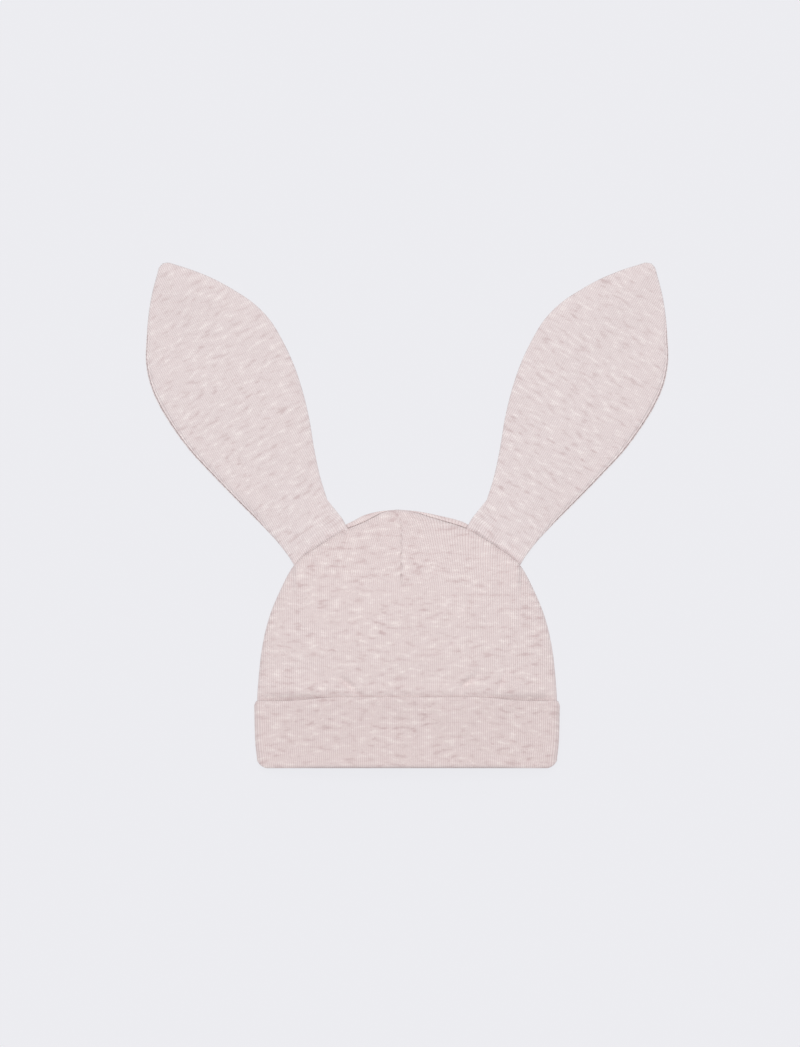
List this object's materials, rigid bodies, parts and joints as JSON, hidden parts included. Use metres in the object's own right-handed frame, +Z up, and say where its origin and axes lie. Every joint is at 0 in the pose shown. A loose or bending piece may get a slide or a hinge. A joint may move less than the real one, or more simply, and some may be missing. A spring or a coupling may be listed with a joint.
{
  "type": "baby hat with ears",
  "caption": "Newborn's rib-knit hat with a turned-up cuff and long rabbit ears sewn into the crown seam, lying flat on its back.",
  "frame": {"origin": "on the surface that the hat lies on, under the middle of its outline", "axes": "+X to the right of the hat's front as seen from above, +Y from the mouth towards the ear tips, +Z up from the surface through the front"},
  "size_m": [0.2818, 0.2728, 0.0224],
  "materials": {
    "crown_knit": "fine one-by-one rib knit in flecked pale pink cotton",
    "cuff_knit": "the same rib knit, turned up",
    "ear_knit": "the same rib knit, a little paler, ribs along the ear"
  },
  "bodies": {
    "root": {"crown_front": "crown_knit", "crown_back": "crown_knit", "cuff_front": "cuff_knit", "cuff_back": "cuff_knit", "ear_left_front": "ear_knit", "ear_left_back": "ear_knit", "ear_right_front": "ear_knit", "ear_right_back": "ear_knit"}
  },
  "joints": []
}
